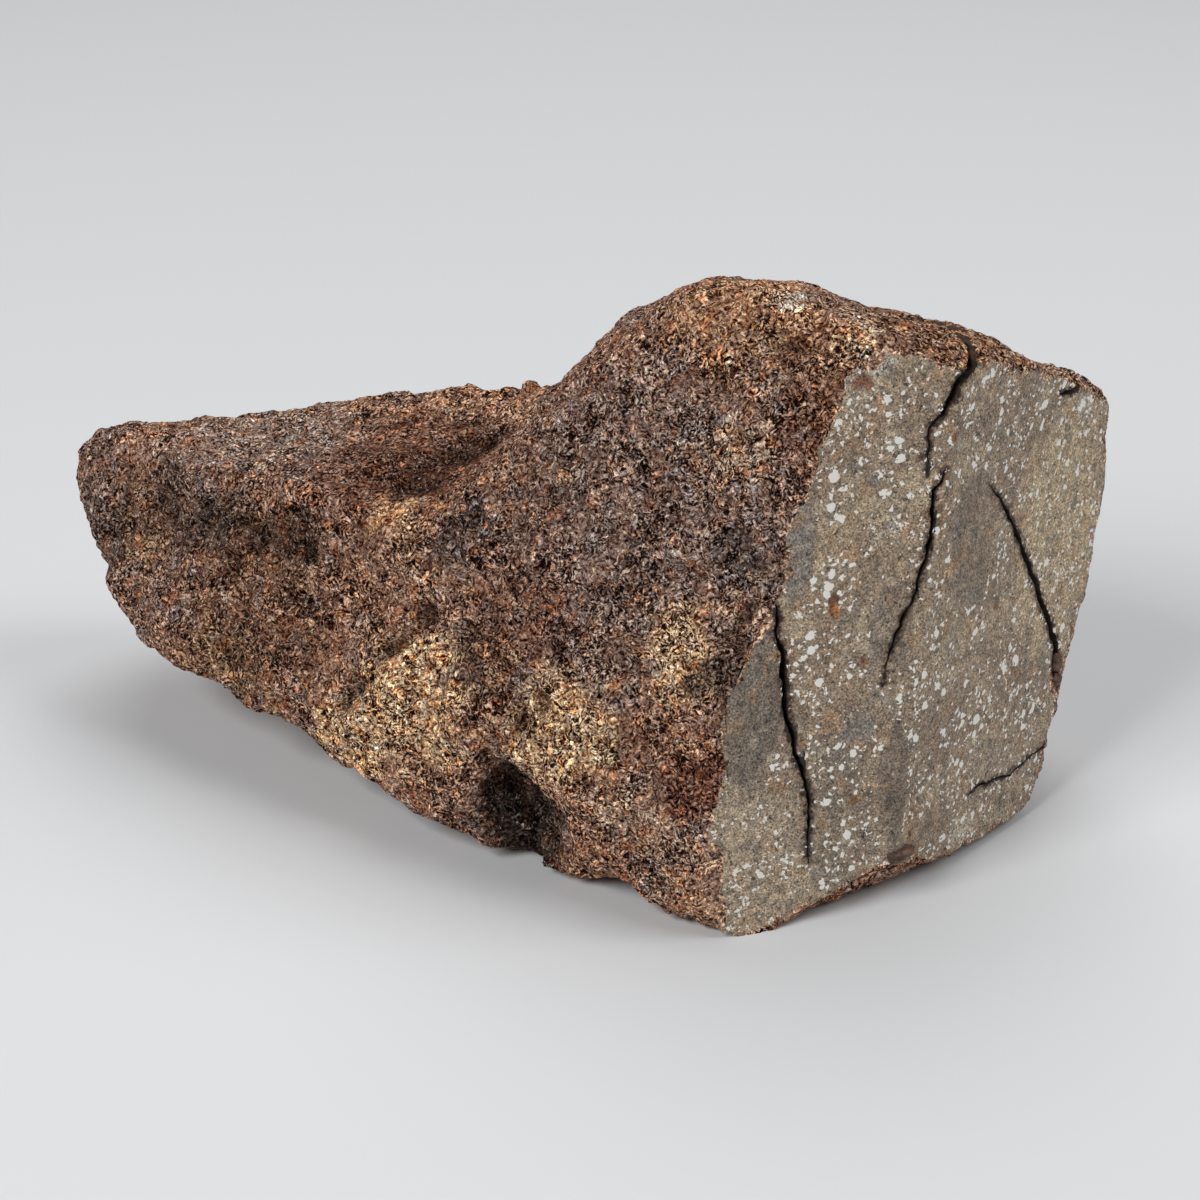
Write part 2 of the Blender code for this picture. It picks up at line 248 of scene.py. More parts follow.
# %% Cracks
CRACKS = {
    "middle, upper": [
        (1.4, 31.3, 0.60), (1.2, 30.9, 0.56), (0.8, 30.2, 0.52), (-0.2, 29.5, 0.42), (-0.6, 28.6, 0.36),
        (-0.8, 27.9, 0.28), (-1.5, 27.4, 0.17), (-1.4, 26.4, 0.17), (-1.2, 25.0, 0.07)],
    "middle, lower": [
        (-0.15, 25.1, 0.07), (-0.2, 24.5, 0.16), (-0.7, 23.8, 0.22), (-0.5, 22.5, 0.25), (-0.5, 21.4, 0.25),
        (-0.6, 20.5, 0.24), (-0.9, 18.6, 0.24), (-1.3, 17.3, 0.22), (-1.6, 16.2, 0.17), (-1.9, 15.2, 0.13),
        (-2.0, 13.4, 0.07)],
    "right": [
        (4.2, 22.9, 0.08), (5.2, 22.0, 0.18), (6.3, 20.8, 0.20), (7.6, 19.3, 0.25), (9.3, 17.0, 0.33),
        (11.3, 14.3, 0.36), (12.9, 12.1, 0.40), (13.9, 10.6, 0.50), (14.3, 9.0, 0.62), (15.0, 7.6, 0.40)],
    "left": [
        (-8.9, 18.9, 0.10), (-8.5, 17.8, 0.26), (-8.5, 16.9, 0.20), (-8.0, 16.0, 0.38), (-7.9, 15.0, 0.42),
        (-7.5, 13.2, 0.32), (-7.2, 12.0, 0.26), (-6.8, 11.4, 0.36), (-6.5, 10.2, 0.22), (-5.8, 8.6, 0.24),
        (-5.3, 7.2, 0.22), (-5.3, 5.6, 0.15), (-4.9, 3.7, 0.07)],
    "low right": [
        (6.9, 4.0, 0.07), (7.6, 4.3, 0.13), (9.2, 4.1, 0.15), (11.2, 3.7, 0.12), (12.4, 3.9, 0.12),
        (14.4, 4.2, 0.18), (16.2, 4.5, 0.22)],
    "shoulder": [
        (9.7, 26.3, 0.10), (10.6, 26.1, 0.30), (11.6, 26.2, 0.36), (12.4, 26.6, 0.30), (13.4, 27.6, 0.40)],
}
# How far a crack wall may lie below the facet, above it, past a station and beside the wedge, in mm
DEEPEST_CRACK = 6.0
ABOVE_FACET = 0.6
PAST_STATION = 0.3
WALL_SLACK = 0.05


def ridge_point(up):
    """The point of the ridge line at this height, in millimetres."""
    rows = np.array((front_normal, side_normal, (0.0, 0.0, 1.0)))
    return np.linalg.solve(rows, np.array((front_distance, side_distance, up)))


def on_facet(across, up):
    """The point at (across, up) and the normal of the facet that it is on."""
    normal = front_normal if across < 0 else side_normal
    level = np.cross((0.0, 0.0, 1.0), normal)
    return ridge_point(up) + across * level / np.linalg.norm(level), normal


def in_crack(points, stations):
    """True for each point that lies within the crack's wedge."""
    places = [on_facet(across, up) for across, up, _ in stations]
    outward = sum(normal for _, normal in places)
    outward /= np.linalg.norm(outward)
    inside = np.zeros(len(points), bool)
    for (start, _), (end, _), left, right in zip(places, places[1:], stations, stations[1:]):
        along = end - start
        along -= outward * (along @ outward)
        length = np.linalg.norm(along)
        along /= length
        away = points - start
        travel = away @ along
        lateral = abs(away @ np.cross(outward, along))
        depth = -(away @ outward)
        width = left[2] + (right[2] - left[2]) * np.clip(travel / length, 0, 1)
        inside |= ((travel > -PAST_STATION) & (travel < length + PAST_STATION)
                   & (lateral < width / 2 + WALL_SLACK) & (depth > -ABOVE_FACET) & (depth < DEEPEST_CRACK))
    return inside


def mark_regions(mesh):
    """Face attributes: crust 0 or 1, crack 0 or 1, and flat_normal, the facet's normal or zero."""
    _, centres, _ = face_arrays(mesh)
    facet = on_front | on_side
    crack = np.zeros(len(centres), bool)
    for stations in CRACKS.values():
        crack |= in_crack(centres, stations)
    crack &= ~facet
    crust = ~facet & ~crack
    flat = np.zeros((len(centres), 3))
    flat[on_front] = front_normal
    flat[on_side] = side_normal
    for name, values in (("crust", crust), ("crack", crack)):
        mesh.attributes.new(name, "FLOAT", "FACE").data.foreach_set("value", values.astype(float))
    mesh.attributes.new("flat_normal", "FLOAT_VECTOR", "FACE").data.foreach_set("vector", flat.ravel())
    return {"crust": int(crust.sum()), "facet": int(facet.sum()), "crack": int(crack.sum())}


print("faces of each kind:", mark_regions(stone_mesh))

# %% [markdown]
# Where two kinds of skin meet, the edge is what the eye follows: the ragged rim of the sawn face
# and the lips of the cracks. The longer of those edges are halved once before the general
# subdivision, so that they can wander in shorter steps.

# %% Finer seams
SHORTEST_HALVED = 0.45 * MM


def refine_seams(mesh):
    """Halve each long edge between two kinds of skin and cut the faces beside it to match."""
    bm = bmesh.new()
    bm.from_mesh(mesh)
    kinds = [bm.faces.layers.float["crust"], bm.faces.layers.float["crack"]]
    seams = [edge for edge in bm.edges if edge.calc_length() > SHORTEST_HALVED
             and any(edge.link_faces[0][kind] != edge.link_faces[1][kind] for kind in kinds)]
    bmesh.ops.subdivide_edges(bm, edges=seams, cuts=1)
    bmesh.ops.triangulate(bm, faces=bm.faces)
    bm.to_mesh(mesh)
    bm.free()
    return len(seams)


print("seam edges halved:", refine_seams(stone_mesh), "faces now:", len(stone_mesh.polygons))

# %% [markdown]
# Two rounds of subdivision turn each triangle into twenty-four, and the stone is kept under
# 200,000 triangles. So a Decimate modifier first takes out the crust points that matter least. A
# vertex group tells it where: inner crust may go, while rims, cracks and facets stay as they are.

# %% Thinner crust
MOST_TRIANGLES = 198000
SUBDIVIDED_INTO = 24


def thin_crust(obj):
    """Add a Decimate modifier that spares all but the inner crust; returns the share that it keeps."""
    mesh = obj.data
    on_crust = np.zeros(len(mesh.polygons))
    mesh.attributes["crust"].data.foreach_get("value", on_crust)
    edge_points = {point for face in mesh.polygons if on_crust[face.index] < 1.0 for point in face.vertices}
    inner = [vertex.index for vertex in mesh.vertices if vertex.index not in edge_points]
    obj.vertex_groups.new(name="inner crust").add(inner, 1.0, "REPLACE")
    thin = obj.modifiers.new("thin crust", "DECIMATE")
    thin.ratio = MOST_TRIANGLES / SUBDIVIDED_INTO / len(mesh.polygons)
    thin.vertex_group = "inner crust"
    thin.vertex_group_factor = 1.0
    return thin.ratio


print("crust thinner ready")

# %% [markdown]
# ## Relief of the crust
#
# A weathered crust is rough at several sizes at once: lumps of a few millimetres, curled ridges of
# about one, and folds and cracks where the stone began to break. It could be sculpted by hand, but it
# follows a rule, so a Geometry Nodes tree makes it: subdivide, soften the old facets, then push
# each point along its normal. Points on a seam may only slide within their facet's plane, which
# turns the smooth rim into a ragged one while the sawn face stays flat. Last, nothing may stick out
# past the saw planes or reach below the table.

# %% Folds
FOLDS = [
    # name, half width in mm, depth in mm (minus where the line stands up), points in mm
    ("crack behind the bulge", 0.55, 0.8,
     [(-5.6, -7.2, 13.5), (-4.0, -8.9, 13.1), (-3.1, -9.8, 12.3), (-0.9, -11.4, 11.2)]),
    ("crack down the bulge", 0.45, 0.6, [(-1.2, -11.2, 11.2), (-2.3, -11.2, 9.8), (-2.9, -11.4, 8.4)]),
    ("foot of the bulge edge", 0.8, 1.0,
     [(-7.3, -5.8, 13.6), (-9.6, -6.1, 11.6), (-11.5, -6.2, 9.4), (-13.0, -5.2, 6.9)]),
    ("bulge edge", 0.9, -0.5,
     [(-5.8, -6.8, 12.9), (-8.3, -6.9, 10.8), (-10.0, -7.2, 9.0), (-12.0, -6.0, 6.0)]),
    ("crack above the tongue", 0.5, 0.45, [(-0.2, -10.2, 14.4), (0.5, -11.2, 13.2), (2.0, -12.1, 12.4)]),
    ("crack in the wall", 0.35, 0.55,
     [(-2.3, -6.9, 20.3), (-3.0, -7.1, 19.4), (-3.9, -7.0, 18.2), (-4.8, -6.6, 17.6)]),
    ("notch in the wall", 0.45, 0.7, [(5.2, -11.5, 16.7), (3.8, -11.6, 15.5)]),
    ("fissure beside the facet", 0.4, 0.6,
     [(11.0, -13.5, 20.2), (10.2, -13.6, 18.8), (9.3, -13.8, 17.4), (8.5, -13.6, 16.5)]),
    ("fold in the crown", 0.5, 0.45, [(10.0, -8.7, 31.2), (11.5, -9.3, 31.2), (13.2, -10.0, 31.2)]),
    ("crest", 1.3, -0.45, [(9.7, -6.6, 32.9), (11.6, -7.4, 32.5), (14.2, -9.0, 32.0), (16.0, -9.9, 31.4)]),
    ("trough behind the wall", 2.6, 0.9, [(-5.0, 5.4, 19.6), (-6.8, 2.8, 19.3), (-9.4, -0.2, 18.6)]),
    ("rear rim", 3.2, -0.5, [(-7.5, 10.4, 20.0), (-4.0, 10.0, 20.8), (-1.2, 9.0, 21.8), (0.4, 7.6, 23.0)]),
    ("edge of the wall", 1.1, -0.4,
     [(-0.4, 3.6, 22.6), (-2.2, 0.8, 21.6), (-5.0, -2.2, 20.0), (-8.4, -3.6, 18.4)]),
    ("ledge", 1.2, -0.4,
     [(-27.4, 9.0, 16.4), (-23.5, 5.8, 17.0), (-19.6, 4.0, 17.3), (-15.4, 0.5, 18.0), (-12.0, -1.6, 17.8)]),
    ("under the ledge", 2.2, 0.6,
     [(-26.5, 6.9, 13.6), (-21.5, 3.6, 14.6), (-16.0, 0.0, 15.2), (-12.0, -2.0, 15.0)]),
    ("hollow", 2.8, 1.3, [(-3.4, -9.6, 6.0), (-2.2, -10.4, 3.4), (-1.4, -11.0, 0.8)]),
]
print("folds:", len(FOLDS))

# %% Relief tree
# Outward normal and distance in mm of the two saw cuts and the table
BOUNDING_PLANES = (
    (front_normal, front_distance), (side_normal, side_distance), (np.array((0.0, 0.0, -1.0)), 0.0))
RELIEF_SIZES = {
    "Lump size": 2.9, "Lump height": 0.46, "Ridge size": 1.25, "Ridge height": 0.22,
    "Crumb size": 0.62, "Crumb height": 0.07, "Fold shake": 1.6, "Rim wander": 0.95, "Crack wander": 0.70,
    "Pattern start": 5.0,
}
SOFTEN_ROUNDS = 2
BLUR_PASSES = 3
# Sizes in mm of the noises that shake the folds, the rim and the cracks' lips, and that make a fold fade
FOLD_SHAKE_SIZE = 1.6
RIM_WANDER_SIZE = 1.5
CRACK_WANDER_SIZE = 1.0
FOLD_FADE_SIZE = 2.4
# A curled ridge is this wide, as a share of the noise's range
RIDGE_BAND = 0.17
# A share above this means all the faces around a point, and one below the other means none of them
ALL_AROUND = 0.999
NONE_AROUND = 0.001


def relief_group():
    """An empty Geometry Nodes tree with named inputs."""
    tree = bpy.data.node_groups.new("crust relief", "GeometryNodeTree")
    face = tree.interface
    face.new_socket("Geometry", in_out="INPUT", socket_type="NodeSocketGeometry")
    for name, value in RELIEF_SIZES.items():
        face.new_socket(name, in_out="INPUT", socket_type="NodeSocketFloat").default_value = value
    for name in ("Crust", "Sawn", "Crack"):
        face.new_socket(name, in_out="INPUT", socket_type="NodeSocketMaterial")
    face.new_socket("Geometry", in_out="OUTPUT", socket_type="NodeSocketGeometry")
    return tree


def visible_socket(sockets, name):
    """The socket of this name that the node shows; it keeps hidden ones for other data types."""
    return next(socket for socket in sockets if socket.enabled and socket.name == name)


def named_value(g, name, kind="FLOAT"):
    """The value of a named attribute."""
    node = g.add("GeometryNodeInputNamedAttribute", {"Name": name}, data_type=kind)
    return visible_socket(node.outputs, "Attribute")


def softened(g, geometry, position, inner_crust):
    """Subdivide and smooth the crust; seams and facets keep their places."""
    for _ in range(SOFTEN_ROUNDS):
        geometry = g.add("GeometryNodeSubdivideMesh", {"Mesh": geometry, "Level": 1}).outputs[0]
        blur = g.add("GeometryNodeBlurAttribute", {"Iterations": BLUR_PASSES, "Weight": inner_crust},
                     data_type="FLOAT_VECTOR")
        g.put(visible_socket(blur.inputs, "Value"), position)
        blurred = visible_socket(blur.outputs, "Value")
        geometry = g.add("GeometryNodeSetPosition", {"Geometry": geometry, "Position": blurred}).outputs[0]
    return geometry


def ridges_of(g, place, size, height):
    """Curled ridges: high where a noise passes its middle value."""
    level = g.add("ShaderNodeTexNoise", {"Vector": place, "Scale": g.math("DIVIDE", 1.0, size), "Detail": 1.5,
                                         "Roughness": 0.55}).outputs["Fac"]
    away = g.math("ABSOLUTE", g.math("SUBTRACT", level, 0.5))
    ridge = g.remap(away, 0.0, RIDGE_BAND, 1.0, 0.0, smooth=False)
    return g.math("MULTIPLY", g.math("SUBTRACT", ridge, 0.5), height)


def fold_drop(g, place, points, half_width, depth):
    """How far the surface sinks along a fold, by its distance to the fold's line."""
    nearest = None
    for start, end in zip(points, points[1:]):
        along = Vector(end) - Vector(start)
        away = g.vector("SUBTRACT", place, start)
        per_length = tuple(along / along.length_squared)
        travel = g.math("MULTIPLY", g.vector("DOT_PRODUCT", away, per_length), 1.0, clamp=True)
        gap = g.vector("LENGTH", g.vector("SUBTRACT", away, g.scaled(tuple(along), travel)))
        nearest = gap if nearest is None else g.math("MINIMUM", nearest, gap)
    return g.remap(nearest, 0.0, half_width, depth, 0.0)


def beyond(g, position, plane_normal, distance):
    """How far a position lies past a plane, in metres."""
    return g.math("SUBTRACT", g.vector("DOT_PRODUCT", position, tuple(plane_normal)), distance * MM)


def wander(g, place, size, reach):
    """A vector noise in metres that shifts a place by up to half the reach, which is in mm."""
    return g.scaled(g.shake(place, size, 3.0, 0.65), g.math("MULTIPLY", reach, MM))


def relief_height(g, place, given, crust_share):
    """How far each crust point rises or sinks, in mm: lumps, ridges, crumbs, less the folds."""
    start = g.add("ShaderNodeCombineXYZ", {0: given["Pattern start"], 1: given["Pattern start"]}).outputs[0]
    pattern = g.vector("ADD", place, start)
    lump = g.add("ShaderNodeTexNoise", {"Vector": pattern, "Scale": g.math("DIVIDE", 1.0, given["Lump size"]),
                                        "Detail": 1.0}).outputs["Fac"]
    height = g.math("MULTIPLY", g.math("SUBTRACT", lump, 0.5), g.math("MULTIPLY", given["Lump height"], 2.0))
    for kind in ("Ridge", "Crumb"):
        height = g.math("ADD", height, ridges_of(g, pattern, given[kind + " size"], given[kind + " height"]))
    push = g.scaled(wander(g, pattern, FOLD_SHAKE_SIZE, given["Fold shake"]), 1 / MM)
    shaken = g.vector("ADD", place, push)
    drop = 0.0
    for _, half_width, depth, points in FOLDS:
        drop = g.math("ADD", drop, fold_drop(g, shaken, points, half_width, depth))
    drop = g.math("MULTIPLY", drop, g.remap(g.noise(pattern, FOLD_FADE_SIZE), 0.36, 0.58, 0.35, 1.15))
    return pattern, g.math("MULTIPLY", crust_share, g.math("SUBTRACT", height, drop))


def seam_step(g, pattern, given, flat, crust_share, crack_share):
    """How far a point on the rim or on a crack's lip wanders, in metres."""
    on_facet_edge = g.math("GREATER_THAN", g.vector("LENGTH", flat), 0.5)
    both_kinds = g.math("MULTIPLY", g.math("GREATER_THAN", crust_share, NONE_AROUND),
                        g.math("LESS_THAN", crust_share, ALL_AROUND))
    on_rim = g.math("MULTIPLY", on_facet_edge, both_kinds)
    near_crack = g.math("GREATER_THAN", crack_share, NONE_AROUND)
    rim_step = g.scaled(wander(g, pattern, RIM_WANDER_SIZE, given["Rim wander"]), on_rim)
    crack_step = g.scaled(wander(g, pattern, CRACK_WANDER_SIZE, given["Crack wander"]), near_crack)
    return g.vector("ADD", rim_step, crack_step)


def offset(g, geometry, step):
    """The geometry with each point moved by a step."""
    return g.add("GeometryNodeSetPosition", {"Geometry": geometry, "Offset": step}).outputs[0]


def relief_tree():
    """Geometry Nodes: subdivide, soften, raise the relief, keep the cuts flat, give the finishes."""
    tree = relief_group()
    g = Graph(tree)
    given = g.add("NodeGroupInput").outputs
    position = g.add("GeometryNodeInputPosition").outputs[0]
    normal = g.add("GeometryNodeInputNormal").outputs["Normal"]
    crust_share = named_value(g, "crust")
    crack_share = named_value(g, "crack")
    inner_crust = g.math("GREATER_THAN", crust_share, ALL_AROUND)
    geometry = softened(g, given["Geometry"], position, inner_crust)

    pattern, height = relief_height(g, g.scaled(position, 1 / MM), given, crust_share)
    stored = g.add("GeometryNodeStoreNamedAttribute", {"Geometry": geometry, "Name": "relief"},
                   data_type="FLOAT", domain="POINT")
    g.put(visible_socket(stored.inputs, "Value"), height)
    flat = g.vector("NORMALIZE", named_value(g, "flat_normal", "FLOAT_VECTOR"))
    step = g.vector("ADD", g.scaled(normal, g.math("MULTIPLY", height, MM)),
                    seam_step(g, pattern, given, flat, crust_share, crack_share))
    in_plane = g.vector("SUBTRACT", step, g.scaled(flat, g.vector("DOT_PRODUCT", step, flat)))
    geometry = offset(g, stored.outputs[0], in_plane)

    for plane_normal, distance in BOUNDING_PLANES:
        too_far = g.math("MAXIMUM", beyond(g, position, plane_normal, distance), 0.0)
        back = g.scaled(tuple(-plane_normal), too_far)
        geometry = offset(g, geometry, back)

    neither = g.math("LESS_THAN", g.math("ADD", crust_share, crack_share), 0.5)
    for name, chosen in (("Crust", g.math("GREATER_THAN", crust_share, 0.5)),
                         ("Crack", g.math("GREATER_THAN", crack_share, 0.5)), ("Sawn", neither)):
        geometry = g.add("GeometryNodeSetMaterial", {"Geometry": geometry, "Selection": chosen,
                                                     "Material": given[name]}).outputs[0]
    realized = g.add("GeometryNodeRealizeInstances", {"Geometry": geometry}).outputs[0]
    g.add("NodeGroupOutput", {"Geometry": realized})
    return tree


def through_tree(obj, tree, values, name):
    """Run the object through a Geometry Nodes tree and return the result as a new plain object."""
    modifier = obj.modifiers.new(tree.name, "NODES")
    modifier.node_group = tree
    for item in tree.interface.items_tree:
        if item.in_out == "INPUT" and item.name in values:
            modifier[item.identifier] = values[item.name]
    bpy.context.view_layer.update()
    evaluated = obj.evaluated_get(bpy.context.evaluated_depsgraph_get())
    mesh = bpy.data.meshes.new_from_object(evaluated)
    obj.modifiers.clear()
    mesh.name = name
    return placed(name, mesh)


print("relief tree helper ready")

# %% [markdown]
# ## Crust material
#
# Iron in the stone has rusted, so the crust runs from purple-grey over red-brown to ochre. Up close
# it is crumbly: short curled ridges, dark holes between them, and each crumb with its own tone. The
# colour is built in that order: a base, broad stains at their real places with two painted shadows
# among them, crumbs of other colours, then lighter ridges, partly painted light, with painted shade
# in the holes and low places, and a few painted glints. The stains and painted shadows are balls in
# the stone's own space, with edges pushed about by noise, so they look right from every side.

# %% Crust stains and painted shadows
OCHRE = (0.540, 0.360, 0.215)
TAN = (0.410, 0.282, 0.200)
ORANGE = (0.385, 0.222, 0.132)
RED = (0.165, 0.078, 0.050)
GREY_PURPLE = (0.242, 0.166, 0.136)
DARK_GREY = (0.106, 0.076, 0.065)
DARK_BROWN = (0.120, 0.068, 0.048)
STAINS_AND_SHADE = [
    # name, centre in mm, radius in mm, colour, strength
    ("main wall", (4.4, -9.3, 22.4), 8.5, GREY_PURPLE, 0.85),
    ("wall below", (0.5, -10.5, 14.0), 6.0, GREY_PURPLE, 0.55),
    ("wall beside the facet", (11.0, -12.5, 22.0), 4.5, GREY_PURPLE, 0.7),
    ("light patch on the wall", (8.7, -10.8, 26.0), 2.4, TAN, 0.55),
    ("blue-grey spot", (9.1, -12.6, 20.9), 1.4, DARK_GREY, 0.7),
    ("crown", (9.0, -6.5, 32.6), 4.4, ORANGE, 0.8),
    ("crown beside the facet", (13.5, -9.4, 31.0), 3.6, ORANGE, 0.7),
    ("fissure in the crown", (11.8, -9.4, 31.2), 1.5, RED, 0.8),
    ("crest", (20.0, -6.0, 31.0), 5.5, (0.250, 0.145, 0.090), 0.8),
    ("pale streak on the crest", (11.8, -6.7, 32.6), 1.0, (0.560, 0.500, 0.410), 0.75),
    ("pale streak, middle", (13.5, -8.0, 32.3), 0.9, (0.520, 0.450, 0.350), 0.7),
    ("pale streak by the chip", (15.3, -9.7, 31.8), 1.0, (0.500, 0.420, 0.330), 0.7),
    ("red wall under the crest", (12.6, -11.0, 28.8), 2.6, (0.190, 0.095, 0.062), 0.7),
    ("belt below the wall", (-7.5, -5.9, 14.6), 3.4, (0.290, 0.176, 0.124), 0.7),
    ("shoulder", (26.5, -2.2, 27.0), 3.0, TAN, 0.6),
    ("left edge of the wall", (-1.5, 4.0, 22.5), 4.5, ORANGE, 0.55),
    ("trough", (-9.0, 2.0, 19.0), 6.4, RED, 0.82),
    ("trough rim", (-6.2, 9.5, 20.8), 2.6, ORANGE, 0.6),
    ("dark rock by the trough", (-5.6, -5.4, 18.5), 2.0, DARK_GREY, 0.85),
    ("red belt", (-2.6, -8.6, 15.0), 3.6, RED, 0.65),
    ("rusty belt", (-3.6, -9.2, 12.9), 1.8, ORANGE, 0.55),
    ("grey under the belt", (0.9, -11.7, 12.5), 2.2, GREY_PURPLE, 0.6),
    ("bulge", (-8.0, -8.0, 9.2), 4.0, OCHRE, 0.85),
    ("bulge, tail", (-12.0, -6.4, 6.0), 3.2, OCHRE, 0.8),
    ("dark crack in the bulge", (-4.8, -8.8, 11.3), 1.5, DARK_BROWN, 0.85),
    ("tongue", (-0.1, -12.1, 9.6), 3.6, OCHRE, 0.75),
    ("yellow spot", (1.8, -13.8, 9.7), 1.5, (0.480, 0.320, 0.180), 0.60),
    ("ochre by the facet", (6.3, -13.0, 15.2), 2.8, OCHRE, 0.75),
    ("dark strip by the facet", (9.3, -14.9, 14.4), 2.9, (0.085, 0.057, 0.046), 0.90),
    ("red spot", (7.4, -15.7, 8.6), 2.3, (0.150, 0.056, 0.034), 0.80),
    ("tan foot", (4.2, -15.1, 6.2), 2.4, TAN, 0.75),
    ("purple foot", (5.9, -16.3, 3.8), 2.6, (0.315, 0.208, 0.158), 0.8),
    ("rusty toe", (8.7, -16.9, 1.2), 2.2, ORANGE, 0.6),
    ("lobe wall", (-18.5, 0.1, 11.0), 6.5, (0.200, 0.112, 0.072), 0.75),
    ("tan patch on the lobe wall", (-25.2, 5.8, 11.9), 2.2, (0.250, 0.150, 0.092), 0.7),
    ("brown foot of the lobe", (-19.5, -1.0, 7.4), 2.8, (0.270, 0.165, 0.100), 0.65),
    ("ochre on the ledge", (-9.4, -2.3, 18.4), 1.9, (0.400, 0.240, 0.135), 0.8),
    # Painted shadow: a dark ball where the ledge casts its shade.
    ("shadow under the ledge", (-14.7, -0.7, 16.0), 1.5, (0.080, 0.044, 0.032), 0.85),
    ("lobe brow", (-22.4, 4.5, 15.6), 3.6, (0.155, 0.108, 0.090), 0.80),
    ("lobe edge", (-29.0, 8.1, 11.4), 3.0, DARK_GREY, 0.7),
    ("lobe top", (-18.0, 8.6, 18.2), 5.0, (0.300, 0.228, 0.192), 0.7),
    # Painted shade: the dark of the hollow under the bulge, over its sunken geometry.
    ("hollow", (-1.8, -10.2, 2.6), 3.0, (0.066, 0.045, 0.036), 0.85),
    ("back rust", (12.0, 9.0, 18.0), 9.0, ORANGE, 0.55),
    ("back ochre", (-4.0, 12.0, 14.0), 6.0, OCHRE, 0.6),
    ("back grey", (2.0, 12.0, 24.0), 6.0, GREY_PURPLE, 0.7),
]
print("stains:", len(STAINS_AND_SHADE))

# %% Crust nodes
BASE_PURPLE = (0.252, 0.164, 0.132, 1.0)
BASE_RED = (0.318, 0.180, 0.120, 1.0)
# From the pits to the tips of the grain: place on the ramp, and a factor for red, green and blue; the
# near-black end is painted shade in the pits, and the light end is partly painted light on the tips
PIT_SHADE_AND_TIP_TONES = [(0.0, (0.004, 0.001, 0.0005)), (0.24, (0.100, 0.066, 0.056)), (0.5, (0.25, 0.24, 0.235)),
         (0.72, (0.41, 0.43, 0.43)), (1.0, (0.95, 0.98, 0.98))]
TONE_GAIN = 5.9
# Height of the grain in mm from the deepest pit to the highest tip
GRAIN_MM = 0.75
# Width of one curl of the grain and of one crumb in mm; the mean of the mixed noises
CURL_SIZE = 0.20
CRUMB_SIZE = 0.13
GRAIN_MEAN = 0.795
# Curled ridges: how far they wander, in wavelengths, and their width as a share of the noise's range
CURL = 1.8
CURL_BAND = 0.10
# The share of crumbs without a painted glint, and the colour of the painted highlight on the others
NO_PAINTED_GLINT = 0.91
PAINTED_GLINT = (0.84, 0.75, 0.66, 1.0)
# Stains and painted shadows: how far noise pushes their edges, the size of that noise, and where the edge
# fades out and in
STAIN_PUSH = 6.5
STAIN_PUSH_SIZE = 2.2
STAIN_EDGE = (1.16, 0.62)
# Pigments: factor for red, green and blue, wavelength in mm, low and high ends of the noise, strength
PIGMENTS = [
    ((1.75, 1.75, 1.40), 0.80, 0.50, 0.66, 0.60),
    ((1.05, 1.30, 1.60), 0.95, 0.50, 0.64, 0.75),
    ((1.50, 0.95, 0.58), 0.70, 0.51, 0.66, 0.75),
    ((0.40, 0.38, 0.42), 1.60, 0.54, 0.68, 0.70),
]


def stone_place(g):
    """Object coordinates in millimetres."""
    return g.scaled(g.add("ShaderNodeTexCoord").outputs["Object"], 1 / MM)


def moved(g, place, by):
    """The place shifted, so that each noise reads another part of the pattern."""
    return g.vector("ADD", place, (by, 0.7 * by, -1.3 * by))


def ragged(g, place, wavelength, reach, start):
    """The place disturbed by fine noise, so that what is drawn there has a ragged edge."""
    shifted = moved(g, place, start)
    return g.vector("ADD", shifted, g.scaled(g.shake(shifted, wavelength, 2.0, 0.6), reach))


def add_bump(g, shader, height):
    """Tilt the light on a surface by a height in millimetres."""
    bump = g.add("ShaderNodeBump", {"Strength": 1.0, "Distance": MM, "Height": height})
    g.put(shader.inputs["Normal"], bump.outputs[0])


def stained_and_shaded(g, place, base):
    """The base colour with each ball of the list laid over it: stains, and two painted shadows."""
    pushed = g.vector("ADD", place, g.scaled(g.shake(place, STAIN_PUSH_SIZE, 5.0, 0.65), STAIN_PUSH))
    colour = base
    for _, centre, radius, ball_colour, strength in STAINS_AND_SHADE:
        reach = g.math("DIVIDE", g.vector("DISTANCE", pushed, centre), radius)
        amount = g.remap(reach, *STAIN_EDGE, 0.0, strength)
        colour = g.mix(amount, colour, (*ball_colour, 1.0))
    return colour


def ridged(g, place, wavelength, start):
    """Thin curled ridges: near 1 where a warped noise passes its middle value."""
    shifted = moved(g, place, start)
    warp = g.scaled(g.shake(shifted, wavelength, 1.0, 0.5), CURL * wavelength)
    level = g.noise(g.vector("ADD", shifted, warp), wavelength, 1.0, 0.5)
    away = g.math("ABSOLUTE", g.math("SUBTRACT", level, 0.5))
    return g.remap(away, 0.0, CURL_BAND, 1.0, 0.0, smooth=False)


def crust_grain(g, place):
    """Fine curly grain: its height (0.3 in pits, 0.7 on tips), random values and a warped place."""
    warped = ragged(g, place, 0.75, 1.2, 0.0)
    _, crumb = g.cells(warped, CRUMB_SIZE)
    chance = g.parts(crumb)
    mixed = g.weighted((g.noise(warped, CURL_SIZE, 1.5, 0.65), 1.0), (ridged(g, place, 0.34, 11.0), 0.10),
                       (chance[0], 0.14), (g.noise(moved(g, place, 31.0), 0.9, 3.0, 0.65), 0.35))
    rough = g.remap(g.noise(moved(g, place, 57.0), 1.8, 3.0, 0.6), 0.40, 0.60, 0.7, 1.3)
    height = g.math("ADD", g.math("MULTIPLY", g.math("SUBTRACT", mixed, GRAIN_MEAN), rough), 0.5)
    return height, chance, warped


